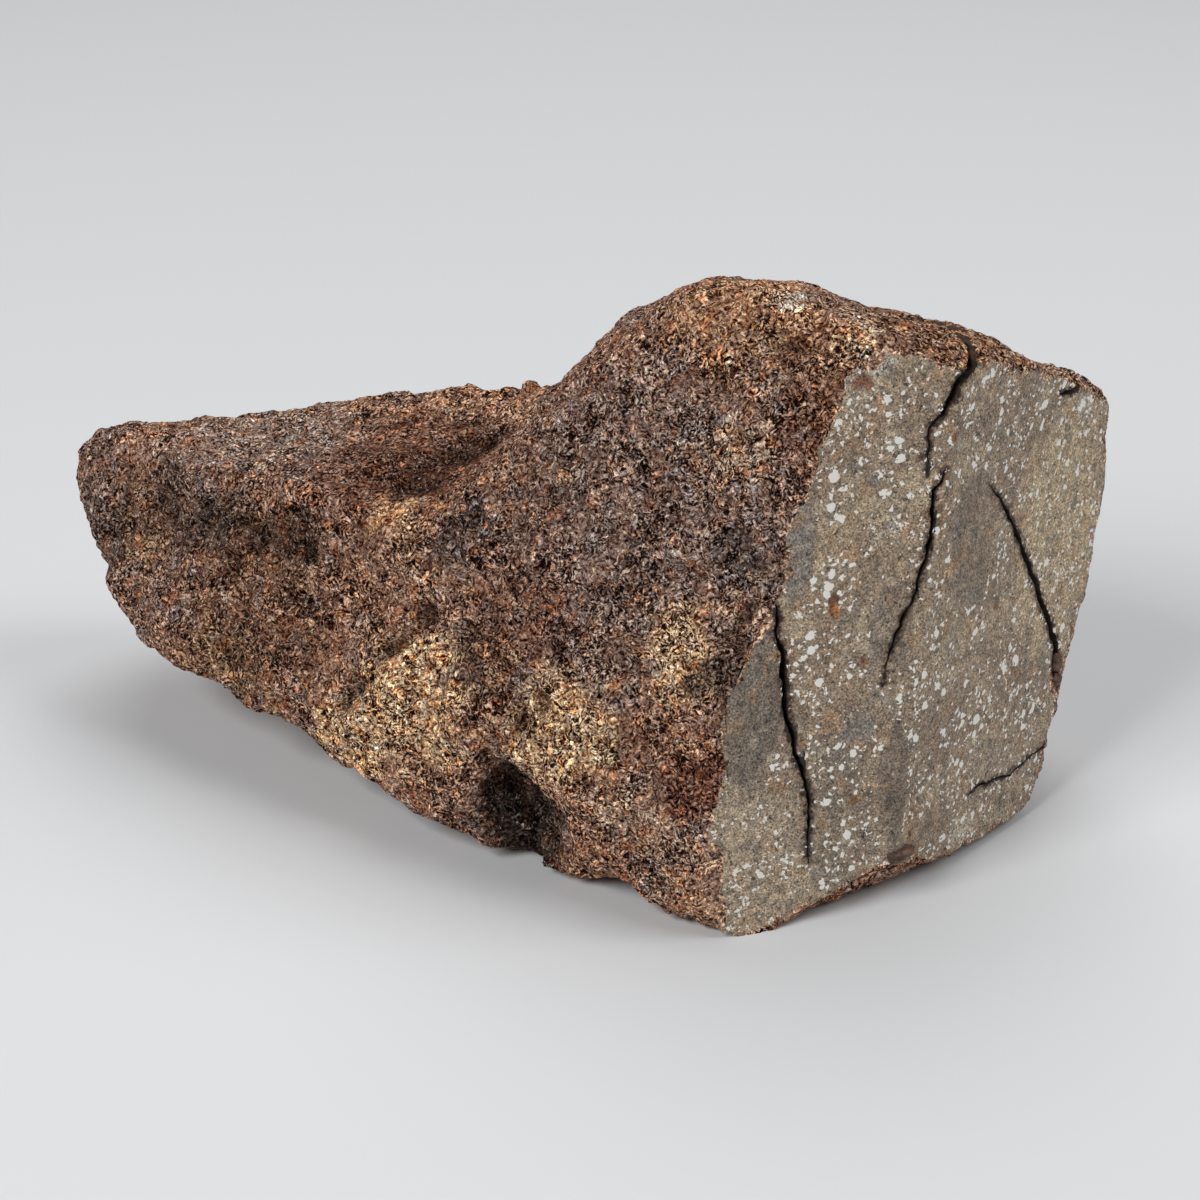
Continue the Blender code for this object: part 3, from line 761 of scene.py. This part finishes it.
def grain_tones_and_pit_shade(g, height, colour):
    """The colour darkened and reddened in the pits as painted shade, and made lighter on the tips, partly as
    painted light.
    """
    shade = g.ramp(g.remap(height, 0.34, 0.70, smooth=False), PIT_SHADE_AND_TIP_TONES)
    return g.scaled(g.vector("MULTIPLY", shade, colour), TONE_GAIN)


def crust_colour(g, place, height, chance, warped):
    """Base, stains and painted shadows, crumbs of other colours, painted shade in low places, lighter tips
    and painted shade in the pits, then painted glints.
    """
    base = g.mix(g.remap(g.noise(place, 6.0, 5.0, 0.6), 0.38, 0.62), BASE_PURPLE, BASE_RED)
    base = stained_and_shaded(g, place, base)
    for index, (factor, wavelength, low, high, strength) in enumerate(PIGMENTS):
        cloud = g.noise(moved(g, warped, 7.0 + 5.0 * index), wavelength, 3.0, 0.75)
        amount = g.remap(cloud, low, high, 0.0, strength)
        base = g.mix(amount, base, g.vector("MULTIPLY", base, factor))
    # Painted shade: the crust darkens where the relief sinks, in folds and hollows.
    painted_low_shade = g.remap(g.point_value("relief"), -0.80, 0.30, 0.40, 1.15)
    colour = g.scaled(grain_tones_and_pit_shade(g, height, base), painted_low_shade)
    # Painted highlight: a few crumb tips get a pale glint colour.
    painted_glint = g.math("GREATER_THAN", chance[2], NO_PAINTED_GLINT)
    return g.mix(g.math("MULTIPLY", painted_glint, g.remap(height, 0.50, 0.62, 0.0, 0.75)), colour, PAINTED_GLINT)


def new_material(name):
    """A material with a Principled shader; returns the material, its graph and the shader."""
    material = bpy.data.materials.new(name)
    material.use_nodes = True
    g = Graph(material.node_tree)
    return material, g, material.node_tree.nodes["Principled BSDF"]


def crust_material():
    """Rough rusty crust."""
    material, g, shader = new_material("crust")
    place = stone_place(g)
    height, chance, warped = crust_grain(g, place)
    g.put(shader.inputs["Base Color"], crust_colour(g, place, height, chance, warped))
    g.put(shader.inputs["Roughness"], g.remap(chance[1], 0.0, 1.0, 0.95, 0.6))
    shader.inputs["Specular IOR Level"].default_value = 0.08
    add_bump(g, shader, g.math("MULTIPLY", height, GRAIN_MM))
    return material


crust = crust_material()
print("crust material:", len(crust.node_tree.nodes), "nodes")

# %% [markdown]
# ## Sawn material
#
# The saw shows rock that never rusted through: fine grey-brown silicate with paler and greyer
# clots, round chondrules, and flecks of iron and nickel. Their white shine is partly painted: a
# near-white colour over a weak metallic finish. Flecks are cells of a Voronoi pattern of which only
# some are kept. Each kept cell gets a blob around its centre, and noise on the coordinates makes the
# blobs ragged. Another slow noise makes them crowd in places.

# %% Sawn marks
SAWN_GREY = (0.275, 0.202, 0.140, 1.0)
SAWN_BEIGE = (0.420, 0.325, 0.220, 1.0)
SAWN_DARK = (0.115, 0.090, 0.070, 1.0)
SAWN_WARM = (0.355, 0.205, 0.108, 1.0)
SAWN_BLUE = (0.205, 0.185, 0.162, 1.0)
METAL_WITH_PAINTED_SHINE = (0.98, 0.94, 0.88, 1.0)
RIM_CRUMB_DARK = (0.200, 0.115, 0.076, 1.0)
RIM_CRUMB_PALE = (0.330, 0.205, 0.130, 1.0)
FRINGE = (0.110, 0.058, 0.032, 1.0)
PAINTED_GAP_SHADE = (0.018, 0.010, 0.007, 1.0)
CHONDRULE_SPACING = 1.15
CHONDRULE_TONES = ((0.135, 0.115, 0.095, 1.0), (0.440, 0.360, 0.265, 1.0))
# Marks up to this radius in mm keep a tight outline, and larger ones are pushed about more
LARGEST_TIGHT_MARK = 1.2
# How far crust crumbles in over the rim at most, and how near a crack the stone is gone and painted
# near-black as the shade of an open gap, in mm
WIDEST_CRUMBLE = 0.55
OPEN_GAP = 0.03
SAWN_ROUGHNESS_MM = 0.09
# Two sizes of metal fleck: spacing in mm, share of the cells that have one, radius in mm, pattern shift
FLECKS = [(0.34, 0.80, 0.14, 3.1), (0.70, 0.70, 0.29, 17.3)]
# Places on the facets are (across, up) in mm, as for the cracks: across from the ridge, up from the table
SAWN_MARKS = [
    # name, across, up, radius in mm, height as a share of the radius, colour, strength, bare of flecks
    ("beige field", 12.2, 18.0, 3.8, 1.9, (0.480, 0.370, 0.235), 0.85, False),
    ("beige sliver", -8.2, 4.6, 2.6, 1.9, (0.400, 0.315, 0.225), 0.7, False),
    ("lower side", 9.5, 4.6, 3.6, 1.0, (0.400, 0.315, 0.225), 0.5, False),
    ("grey band on the left rim", -8.1, 22.2, 1.0, 3.8, (0.225, 0.195, 0.168), 0.9, True),
    ("grey-green sliver", -9.3, 13.0, 1.8, 2.6, (0.150, 0.122, 0.098), 0.85, True),
    # Painted shade: a darker band where the two facets bend into each other.
    ("painted shade at the bend", -0.5, 7.6, 0.9, 4.6, (0.150, 0.118, 0.092), 0.75, True),
    ("lower front", -3.4, 6.0, 2.2, 2.2, (0.185, 0.148, 0.112), 0.55, False),
    ("smooth field", 3.4, 20.2, 2.2, 1.8, (0.215, 0.168, 0.124), 0.7, True),
    ("fold beside the left crack", -2.0, 16.6, 1.2, 2.4, (0.205, 0.165, 0.128), 0.6, True),
    ("white chondrule", -2.8, 22.3, 0.36, 1.2, (0.520, 0.480, 0.420), 0.8, True),
    ("tan chondrule", 1.5, 19.1, 0.42, 1.0, (0.420, 0.300, 0.180), 0.8, True),
    ("blue-grey chondrule", -4.3, 24.7, 0.40, 1.0, (0.170, 0.175, 0.175), 0.9, True),
    ("grey clot", -3.1, 11.1, 0.90, 1.0, (0.190, 0.180, 0.165), 0.7, True),
    ("pale clot", 6.7, 2.1, 1.10, 1.0, (0.520, 0.450, 0.340), 0.7, False),
    ("pale patch on the shoulder", 12.8, 24.8, 0.80, 1.0, (0.480, 0.420, 0.340), 0.7, False),
    ("large rust spot", -5.5, 18.3, 0.30, 2.5, (0.130, 0.045, 0.018), 0.9, True),
    ("orange in the rust spot", -5.35, 18.0, 0.20, 2.2, (0.480, 0.160, 0.035), 0.9, True),
    ("rust spot by the right crack", 6.8, 15.3, 0.26, 1.2, (0.160, 0.060, 0.025), 0.85, True),
    ("dark spot by the middle crack", -1.7, 25.8, 0.22, 1.2, (0.050, 0.025, 0.015), 0.9, True),
    ("rust spot right of the crack", 0.1, 26.6, 0.24, 1.2, (0.260, 0.100, 0.035), 0.85, True),
    ("rust spot mid left", -3.3, 15.0, 0.24, 1.2, (0.200, 0.080, 0.030), 0.85, True),
    ("rust spot low left", -2.8, 7.0, 0.26, 1.2, (0.200, 0.085, 0.035), 0.85, True),
    ("pale chip at the top rim", -4.8, 31.0, 0.90, 0.9, (0.460, 0.410, 0.340), 0.8, True),
    ("red notch at the top rim", -5.6, 30.0, 0.60, 0.8, (0.230, 0.085, 0.045), 0.9, True),
]
# Chips along the rim: across, up, radius in mm, height as a share of the radius
RIM_CHIPS = [(-10.6, 4.2, 0.75, 2.2), (-10.2, 1.6, 0.85, 1.8), (-5.4, 31.3, 0.85, 0.8), (14.6, 8.6, 0.7, 2.2)]
print("sawn marks:", len(SAWN_MARKS), "and rim chips:", len(RIM_CHIPS))

# %% Sawn nodes


def fleck_layer(g, place, crowd, spacing, share, size, start):
    """Mask of ragged flecks: one blob in a share of the cells."""
    shaken = ragged(g, ragged(g, place, 0.60, 0.55, start), 0.13, 0.26, 0.0)
    distance, colour = g.cells(shaken, spacing)
    pick = g.parts(colour)
    kept = g.math("LESS_THAN", pick[0], g.math("MULTIPLY", crowd, share))
    radius = g.remap(pick[1], 0.0, 1.0, 0.35 * size, size, smooth=False)
    blob = g.math("LESS_THAN", g.math("MULTIPLY", distance, spacing), radius)
    return g.math("MULTIPLY", kept, blob)


def mark_amount(g, place, across, up, radius, stretch):
    """How far the place lies within an upright ellipse on the facet: 1 inside, 0 outside."""
    centre, _ = on_facet(across, up)
    away = g.vector("SUBTRACT", place, tuple(centre))
    squeezed = g.vector("MULTIPLY", away, (1.0 / radius, 1.0 / radius, 1.0 / (radius * stretch)))
    return g.remap(g.vector("LENGTH", squeezed), 1.25, 0.75)


def chondrules(g, tight, colour):
    """Small round bodies, lighter or darker than the stone around them."""
    distance, drop = g.cells(tight, CHONDRULE_SPACING)
    chance = g.parts(drop)
    amount = g.math("MULTIPLY", g.remap(distance, 0.34, 0.26), g.remap(chance[0], 0.45, 0.75, 0.0, 0.7))
    return g.mix(amount, colour, g.mix(chance[1], *CHONDRULE_TONES))


def crumbled_rim(g, place, tight, colour, flecks):
    """Broken crust instead of sawn stone along the rim and on a few chips."""
    reach = g.remap(g.noise(moved(g, place, 53.0), 1.3, 4.0, 0.7), 0.42, 0.70, 0.0, WIDEST_CRUMBLE)
    broken = g.math("LESS_THAN", g.point_value("from_rim"), reach)
    for chip in RIM_CHIPS:
        broken = g.math("MAXIMUM", broken, g.math("GREATER_THAN", mark_amount(g, tight, *chip), 0.5))
    height, chance, _ = crust_grain(g, place)
    crumb = grain_tones_and_pit_shade(g, height, g.mix(chance[1], RIM_CRUMB_DARK, RIM_CRUMB_PALE))
    kept = g.math("MULTIPLY", flecks, g.math("SUBTRACT", 1.0, broken))
    return g.mix(broken, colour, crumb), kept


def crack_fringe(g, place, colour, flecks):
    """A rusty fringe beside each crack, ragged where the stone crumbled into it, and near-black painted shade
    where the gap is open.
    """
    wobble = g.remap(g.noise(moved(g, place, 71.0), 0.34, 3.0, 0.7), 0.3, 0.7, 0.16, -0.22)
    gap = g.math("ADD", g.point_value("from_crack"), wobble)
    colour = g.mix(g.remap(gap, 0.30, 0.08, 0.0, 0.75), colour, FRINGE)
    # Painted shade: near-black where the crack's gap is open.
    colour = g.mix(g.math("LESS_THAN", gap, OPEN_GAP), colour, PAINTED_GAP_SHADE)
    return colour, g.math("MULTIPLY", flecks, g.math("GREATER_THAN", gap, OPEN_GAP))


def sawn_ground(g, place, tight):
    """Colour of the sawn stone with its marks, clots and chondrules, and where it is bare of flecks."""
    broad = g.noise(place, 3.2, 5.0, 0.62)
    clots = g.noise(moved(g, place, 9.0), 0.8, 5.0, 0.68)
    warm = g.noise(moved(g, place, 19.0), 1.4, 4.0, 0.65)
    colour = g.mix(g.remap(broad, 0.42, 0.68), SAWN_GREY, SAWN_BEIGE)
    wide = ragged(g, place, 1.2, 2.0, 0.0)
    bare = 0.0
    for _, across, up, radius, stretch, mark, strength, no_flecks in SAWN_MARKS:
        amount = mark_amount(g, wide if radius > LARGEST_TIGHT_MARK else tight, across, up, radius, stretch)
        colour = g.mix(g.math("MULTIPLY", amount, strength), colour, (*mark, 1.0))
        bare = g.math("MAXIMUM", bare, amount) if no_flecks else bare
    colour = g.mix(g.remap(clots, 0.46, 0.30, 0.0, 0.75), colour, SAWN_DARK)
    colour = g.mix(g.remap(clots, 0.56, 0.72, 0.0, 0.55), colour, SAWN_BEIGE)
    colour = g.mix(g.remap(warm, 0.53, 0.66, 0.0, 0.62), colour, SAWN_WARM)
    colour = g.mix(g.remap(warm, 0.44, 0.32, 0.0, 0.60), colour, SAWN_BLUE)
    return chondrules(g, tight, colour), bare


def dusted(g, place, colour):
    """The colour broken up by saw dust of two sizes and by dark pinholes."""
    fine = g.remap(g.noise(place, 0.11, 2.0, 0.8), 0.3, 0.7, 0.0, 2.25, smooth=False)
    coarse = g.remap(g.noise(moved(g, place, 83.0), 0.45, 3.0, 0.7), 0.3, 0.7, 0.65, 1.35)
    pinholes = g.remap(g.noise(moved(g, place, 63.0), 0.40, 2.0, 0.6), 0.30, 0.36, 0.30, 1.0)
    return g.scaled(colour, g.math("MULTIPLY", g.math("MULTIPLY", fine, coarse), pinholes))


def metal_flecks(g, place, bare):
    """Mask of the metal flecks: both sizes, crowded in places, none where the stone is bare."""
    crowd = g.remap(g.noise(moved(g, place, 41.0), 2.2, 4.0, 0.68), 0.42, 0.58, 0.08, 1.15)
    small, large = [fleck_layer(g, place, crowd, *layer) for layer in FLECKS]
    uneven_bare = g.math("ADD", bare, g.math("MULTIPLY", g.noise(place, 0.6), 0.5))
    return g.math("MULTIPLY", g.math("MAXIMUM", small, large), g.math("LESS_THAN", uneven_bare, 0.72))


def sawn_material():
    """Sawn stone with metal flecks."""
    material, g, shader = new_material("sawn stone")
    place = stone_place(g)
    tight = ragged(g, place, 0.3, 0.35, 0.0)
    colour, bare = sawn_ground(g, place, tight)
    colour, flecks = crumbled_rim(g, place, tight, dusted(g, place, colour), metal_flecks(g, place, bare))
    colour, flecks = crack_fringe(g, place, colour, flecks)
    # The flecks are real metal; their near-white colour is partly a painted reflection.
    g.put(shader.inputs["Base Color"], g.mix(flecks, colour, METAL_WITH_PAINTED_SHINE))
    g.put(shader.inputs["Metallic"], g.math("MULTIPLY", flecks, 0.25))
    g.put(shader.inputs["Roughness"], g.remap(flecks, 0.0, 1.0, 0.62, 0.35))
    add_bump(g, shader, g.math("MULTIPLY", g.noise(place, 0.26, 4.0, 0.72), SAWN_ROUGHNESS_MM))
    return material


sawn = sawn_material()
print("sawn material:", len(sawn.node_tree.nodes), "nodes")

# %% [markdown]
# ## Crack material
#
# Inside a crack hardly any light comes back, and rust lines the walls. The geometry already makes
# most of that darkness. The material only adds a dark rusty brown that varies a little. The beads
# of rust on the outside get a lighter one.

# %% Crack nodes
CRACK_TONES = ((0.014, 0.009, 0.006, 1.0), (0.060, 0.030, 0.016, 1.0))
RUST_TONES = ((0.060, 0.032, 0.022, 1.0), (0.190, 0.105, 0.066, 1.0))
RUST_ROUGHNESS_MM = 0.06


def crack_material():
    """Dark rusty walls inside the cracks."""
    material, g, shader = new_material("crack walls")
    place = stone_place(g)
    tone = g.remap(g.noise(place, 0.6, 3.0, 0.6), 0.35, 0.65)
    g.put(shader.inputs["Base Color"], g.mix(tone, *CRACK_TONES))
    shader.inputs["Roughness"].default_value = 0.95
    return material


crack_walls = crack_material()


def rust_material():
    """Dark brown rust of the beads."""
    material, g, shader = new_material("rust bead")
    place = stone_place(g)
    tone = g.remap(g.noise(place, 0.5, 3.0, 0.65), 0.35, 0.65)
    g.put(shader.inputs["Base Color"], g.mix(tone, *RUST_TONES))
    shader.inputs["Roughness"].default_value = 0.6
    add_bump(g, shader, g.math("MULTIPLY", tone, RUST_ROUGHNESS_MM))
    return material


rust = rust_material()
print("crack and rust materials ready")

# %% [markdown]
# ## The stone
#
# The marked skin goes through the relief tree and comes back as one plain mesh with its three
# finishes. The crust is shaded smooth, so that its small triangles don't show. Edges between two
# finishes are marked sharp, which keeps the rim of the sawn face crisp.

# %% Make the stone
# Distance in mm for the points that aren't on a sawn face
FAR_FROM_EDGE = 9.0


def measure_from(obj, kind, name):
    """Store on each point of the sawn faces its distance in mm to the nearest face of this kind."""
    mesh = obj.data
    corners = {material.name: set() for material in mesh.materials}
    for face in mesh.polygons:
        corners[mesh.materials[face.material_index].name].update(face.vertices)
    edge = corners[kind.name] & corners[sawn.name]
    tree = kdtree.KDTree(len(edge))
    for index in edge:
        tree.insert(mesh.vertices[index].co, index)
    tree.balance()
    distances = np.full(len(mesh.vertices), FAR_FROM_EDGE)
    for index in corners[sawn.name]:
        distances[index] = tree.find(mesh.vertices[index].co)[2] / MM
    mesh.attributes.new(name, "FLOAT", "POINT").data.foreach_set("value", distances)
    return len(edge)


def finish_shading(obj):
    """Smooth faces, with sharp edges wherever the material changes."""
    mesh = obj.data
    mesh.shade_smooth()
    bm = bmesh.new()
    bm.from_mesh(mesh)
    for edge in bm.edges:
        kinds = {face.material_index for face in edge.link_faces}
        edge.smooth = len(kinds) == 1
    bm.to_mesh(mesh)
    bm.free()


stone_mesh.materials.append(crust)
marked = placed("marked skin", stone_mesh)
print("share of the crust mesh kept:", round(thin_crust(marked), 3))
finishes = {"Crust": crust, "Sawn": sawn, "Crack": crack_walls}
stone = through_tree(marked, relief_tree(), finishes, "meteorite_stone")
bpy.data.objects.remove(marked)
finish_shading(stone)
print("points on the rim:", measure_from(stone, crust, "from_rim"))
print("points on the lips of cracks:", measure_from(stone, crack_walls, "from_crack"))
print("stone:", 2 * len(stone.data.polygons), "triangles", [m.name for m in stone.data.materials])

# %% [markdown]
# ## Beads and lumps of rust
#
# Where a crack reaches the edge of the side facet, two beads of rust have swelled out of it, and a
# lump of two hangs at the lower rim. They are small round bodies with an uneven skin, so each is a
# ball, flattened to its own shape and roughened by noise, and sunk a little over half into the stone.

# %% Beads
BEAD_ROUGHNESS = 0.30
BEAD_GRAIN = 0.5 * MM
# A bead's middle lies this share of its outward radius below the facet
BEAD_SUNK = 0.25
BEADS = [
    # across and up on the facet, radii in mm (along the facet, outward, up)
    (14.45, 9.3, (0.42, 0.40, 0.55)), (14.75, 8.2, (0.36, 0.34, 0.40)), (1.0, 3.1, (1.15, 0.50, 0.42)),
    (0.3, 3.2, (0.55, 0.42, 0.40)),
]


def add_bead(bm, across, up, radii, index):
    """One roughened ball, sunk into the facet."""
    centre, outward = on_facet(across, up)
    outward = Vector(outward)
    level = Vector((0.0, 0.0, 1.0)).cross(outward).normalized()
    turn = Matrix((level, outward, level.cross(outward))).transposed().to_4x4()
    shape = Matrix.Diagonal((*(Vector(radii) * MM), 1.0))
    middle = Matrix.Translation((Vector(centre) - BEAD_SUNK * radii[1] * outward) * MM)
    ball = bmesh.ops.create_icosphere(bm, subdivisions=4, radius=1.0, matrix=middle @ turn @ shape)
    for vertex in ball["verts"]:
        away = vertex.co - middle.translation
        rough = noise.fractal(vertex.co / BEAD_GRAIN + Vector((index, 0, 0)), 0.8, 2.0, 3)
        vertex.co = middle.translation + away * (1.0 + BEAD_ROUGHNESS * rough)


def make_beads():
    """All beads as one smooth object."""
    bm = bmesh.new()
    for index, (across, up, radii) in enumerate(BEADS):
        add_bead(bm, across, up, radii, index)
    for face in bm.faces:
        face.smooth = True
    mesh = bpy.data.meshes.new("rust_beads")
    bm.to_mesh(mesh)
    bm.free()
    mesh.materials.append(rust)
    return placed("rust_beads", mesh)


beads = make_beads()
print("beads:", len(BEADS), "with", len(beads.data.polygons), "triangles")

# %% [markdown]
# ## Floor and light
#
# The shadows in the photo tell where the lamps were. One long soft shadow runs to the right and
# back, so a lamp stood at the left front. A short one points left, so another stood on the right.
# The dark strip on the floor in front of the stone comes from a third lamp, high behind it. The
# strengths were fitted to the brightness of the floor at some twenty places.

# %% Stage
LAMP_TARGET = Vector((0.0, 0.0, 0.01))
FLOOR_HALF_SIDE = 3.0


def add_floor():
    """A wide pale floor at the height of the table."""
    bm = bmesh.new()
    bmesh.ops.create_grid(bm, x_segments=1, y_segments=1, size=FLOOR_HALF_SIDE)
    mesh = bpy.data.meshes.new("floor")
    bm.to_mesh(mesh)
    bm.free()
    material, _, shader = new_material("pale floor")
    shader.inputs["Base Color"].default_value = (0.74, 0.755, 0.77, 1.0)
    shader.inputs["Roughness"].default_value = 0.85
    mesh.materials.append(material)
    return placed("floor", mesh)


def add_lamp(name, place, size, watts):
    """A square soft lamp that points at the stone; place and size in metres."""
    data = bpy.data.lights.new(name, "AREA")
    data.shape = "SQUARE"
    data.size = size
    data.energy = watts
    lamp = placed(name, data)
    direction = LAMP_TARGET - Vector(place)
    turn = direction.to_track_quat("-Z", "Y").to_matrix().to_4x4()
    lamp.matrix_world = Matrix.Translation(Vector(place)) @ turn
    return lamp


floor = add_floor()
lamps = [
    add_lamp("left front", (-0.25, -0.25, 0.30), 0.20, 1.33),
    add_lamp("behind", (0.0, 0.25, 0.45), 0.35, 1.10),
    add_lamp("right", (0.30, -0.05, 0.30), 0.25, 0.64),
]
world = bpy.data.worlds.new("tent")
world.use_nodes = True
background = world.node_tree.nodes["Background"]
background.inputs["Color"].default_value = (0.95, 0.98, 1.0, 1.0)
background.inputs["Strength"].default_value = 0.05
bpy.context.scene.world = world
bpy.context.scene.view_settings.view_transform = "Standard"
print("floor and", len(lamps), "lamps")

# %% [markdown]
# ## In place of the solid
#
# The dressed stone takes the place of the plain solid, which is hidden, and rides on the one body
# there is. The fine relief must not change the size.

# %% Frame calls
for piece in (stone, beads):
    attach(piece, "root")
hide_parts("meteorite")
